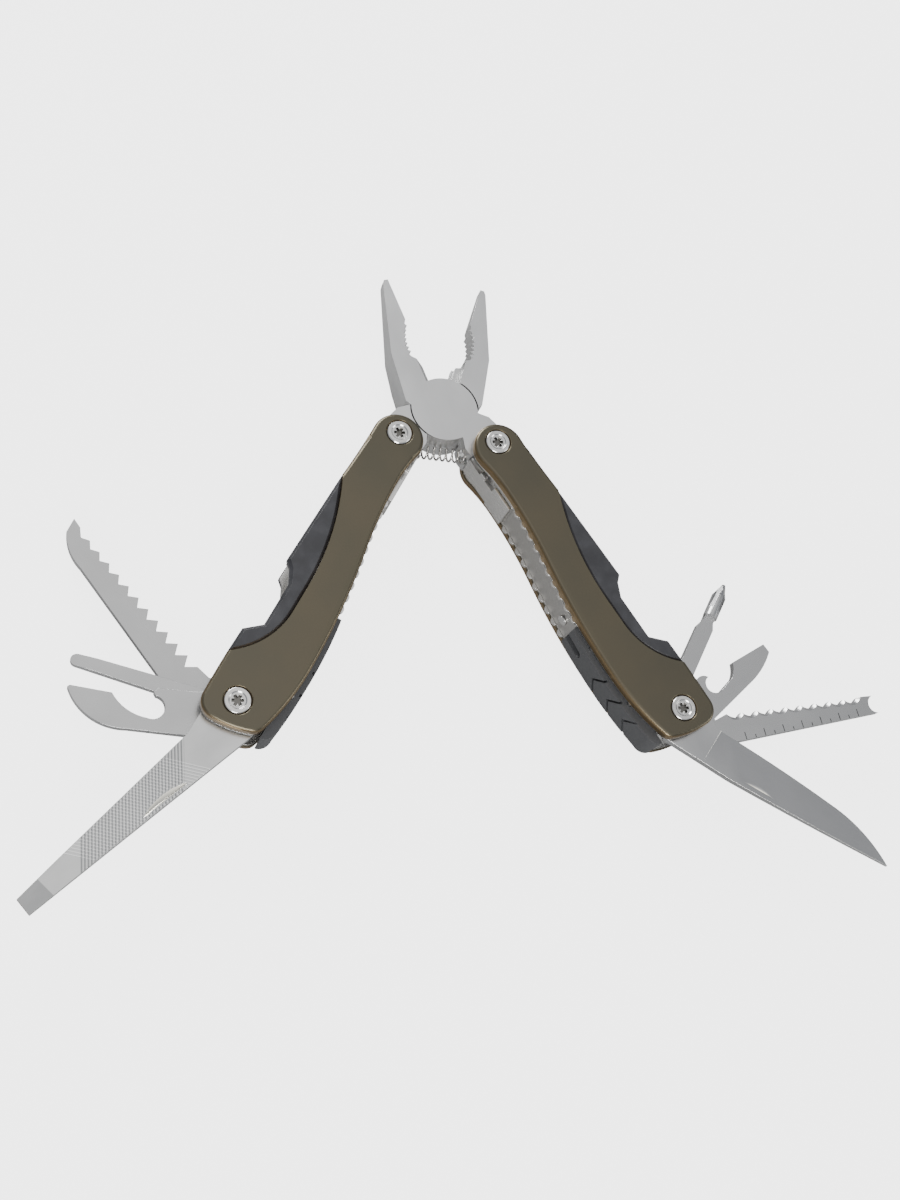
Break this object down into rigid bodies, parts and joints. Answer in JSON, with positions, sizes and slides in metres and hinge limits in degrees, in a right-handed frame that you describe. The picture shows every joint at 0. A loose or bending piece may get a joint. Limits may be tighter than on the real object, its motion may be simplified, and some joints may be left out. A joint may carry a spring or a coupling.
{
  "type": "folding plier multi tool",
  "caption": "Spring-loaded folding pliers with two channel handles that each hold a fan of pivoting blades, openers, drivers, saw and file.",
  "frame": {"origin": "under the middle of the bounding box, on the plane that the rear scales rest on", "axes": "XY is the tool's plane, +Y towards the jaws, +Z from the rear scales to the front scales"},
  "size_m": [0.2324, 0.187, 0.0177],
  "materials": {
    "bronze_scale": "satin bronze anodised",
    "black_inlay": "satin near-black",
    "spine_nylon": "moulded dark grey",
    "bright_fastener": "bright turned",
    "head_steel": "satin ground",
    "spring_wire": "bright drawn",
    "liner_steel": "rolled satin",
    "tool_steel": "fine brushed"
  },
  "bodies": {
    "front_jaw": {"front_jaw": "head_steel", "jaw_pin": "head_steel", "jaw_spring": "spring_wire"},
    "rear_jaw": {"rear_jaw": "head_steel"},
    "right_pin": {"right_tang_barrel": "bright_fastener", "right_tang_screw": "bright_fastener"},
    "right_handle": {"right_front_scale": "bronze_scale", "right_rear_scale": "bronze_scale", "right_front_inlay": "black_inlay", "right_rear_inlay": "black_inlay", "right_front_liner": "liner_steel", "right_rear_liner": "liner_steel", "right_web_leaf": "liner_steel", "right_finger_spring": "liner_steel", "right_web_rivet": "bright_fastener", "right_spine_block": "spine_nylon", "right_block_pins": "liner_steel", "right_bridge_plate": "liner_steel", "right_tool_barrel": "bright_fastener", "right_tool_screw": "bright_fastener", "right_tool_shims": "liner_steel"},
    "knife_blade": {"knife_blade": "tool_steel"},
    "fish_scaler": {"fish_scaler": "tool_steel"},
    "bottle_opener": {"bottle_opener": "tool_steel"},
    "cross_driver": {"cross_driver": "tool_steel"},
    "left_pin": {"left_tang_barrel": "bright_fastener", "left_tang_screw": "bright_fastener"},
    "left_handle": {"left_front_scale": "bronze_scale", "left_rear_scale": "bronze_scale", "left_front_inlay": "black_inlay", "left_rear_inlay": "black_inlay", "left_front_liner": "liner_steel", "left_rear_liner": "liner_steel", "left_web_leaf": "liner_steel", "left_finger_spring": "liner_steel", "left_web_rivet": "bright_fastener", "left_spine_block": "spine_nylon", "left_block_pins": "liner_steel", "left_bridge_plate": "liner_steel", "left_tool_barrel": "bright_fastener", "left_tool_screw": "bright_fastener", "left_tool_shims": "liner_steel"},
    "file": {"file": "tool_steel"},
    "can_opener": {"can_opener": "tool_steel"},
    "small_driver": {"small_driver": "tool_steel"},
    "wood_saw": {"wood_saw": "tool_steel"}
  },
  "joints": [
    {"name": "jaw_pivot", "type": "hinge", "parent": "front_jaw", "child": "rear_jaw", "pos_m": [-0.01337, 0.05237, 0.0088], "axis": [0, 0, 1], "range_deg": [0, 37.5], "stiffness_Nm_per_rad": 0.12, "deforming": ["jaw_spring"]},
    {"name": "right_pin_turn", "type": "hinge", "parent": "front_jaw", "child": "right_pin", "pos_m": [0.00111, 0.04212, 0.0088], "axis": [0, 0, 1], "range_deg": [0, 17.4]},
    {"name": "right_handle_fold", "type": "hinge", "parent": "right_pin", "child": "right_handle", "pos_m": [0.00111, 0.04212, 0.0088], "axis": [0, 0, 1], "range_deg": [0, 150]},
    {"name": "knife_blade_fold", "type": "hinge", "parent": "right_handle", "child": "knife_blade", "pos_m": [0.05286, -0.03152, 0.0088], "axis": [0, 0, 1], "range_deg": [-21.6, 160.5]},
    {"name": "fish_scaler_fold", "type": "hinge", "parent": "right_handle", "child": "fish_scaler", "pos_m": [0.05286, -0.03152, 0.0088], "axis": [0, 0, 1], "range_deg": [-62.2, 121.3]},
    {"name": "bottle_opener_fold", "type": "hinge", "parent": "right_handle", "child": "bottle_opener", "pos_m": [0.05286, -0.03152, 0.0088], "axis": [0, 0, 1], "range_deg": [-92.1, 87.9]},
    {"name": "cross_driver_fold", "type": "hinge", "parent": "right_handle", "child": "cross_driver", "pos_m": [0.05286, -0.03152, 0.0088], "axis": [0, 0, 1], "range_deg": [-118.7, 61.3]},
    {"name": "left_pin_turn", "type": "hinge", "parent": "rear_jaw", "child": "left_pin", "pos_m": [-0.02723, 0.04128, 0.0088], "axis": [0, 0, -1], "range_deg": [0, 17.6]},
    {"name": "left_handle_fold", "type": "hinge", "parent": "left_pin", "child": "left_handle", "pos_m": [-0.02723, 0.04128, 0.0088], "axis": [0, 0, -1], "range_deg": [0, 150]},
    {"name": "file_fold", "type": "hinge", "parent": "left_handle", "child": "file", "pos_m": [-0.06781, -0.03906, 0.0088], "axis": [0, 0, -1], "range_deg": [-15.1, 167.7]},
    {"name": "can_opener_fold", "type": "hinge", "parent": "left_handle", "child": "can_opener", "pos_m": [-0.06781, -0.03906, 0.0088], "axis": [0, 0, -1], "range_deg": [-66.3, 113.7]},
    {"name": "small_driver_fold", "type": "hinge", "parent": "left_handle", "child": "small_driver", "pos_m": [-0.06781, -0.03906, 0.0088], "axis": [0, 0, -1], "range_deg": [-76.8, 103.2]},
    {"name": "wood_saw_fold", "type": "hinge", "parent": "left_handle", "child": "wood_saw", "pos_m": [-0.06781, -0.03906, 0.0088], "axis": [0, 0, -1], "range_deg": [-112, 73.2]}
  ]
}
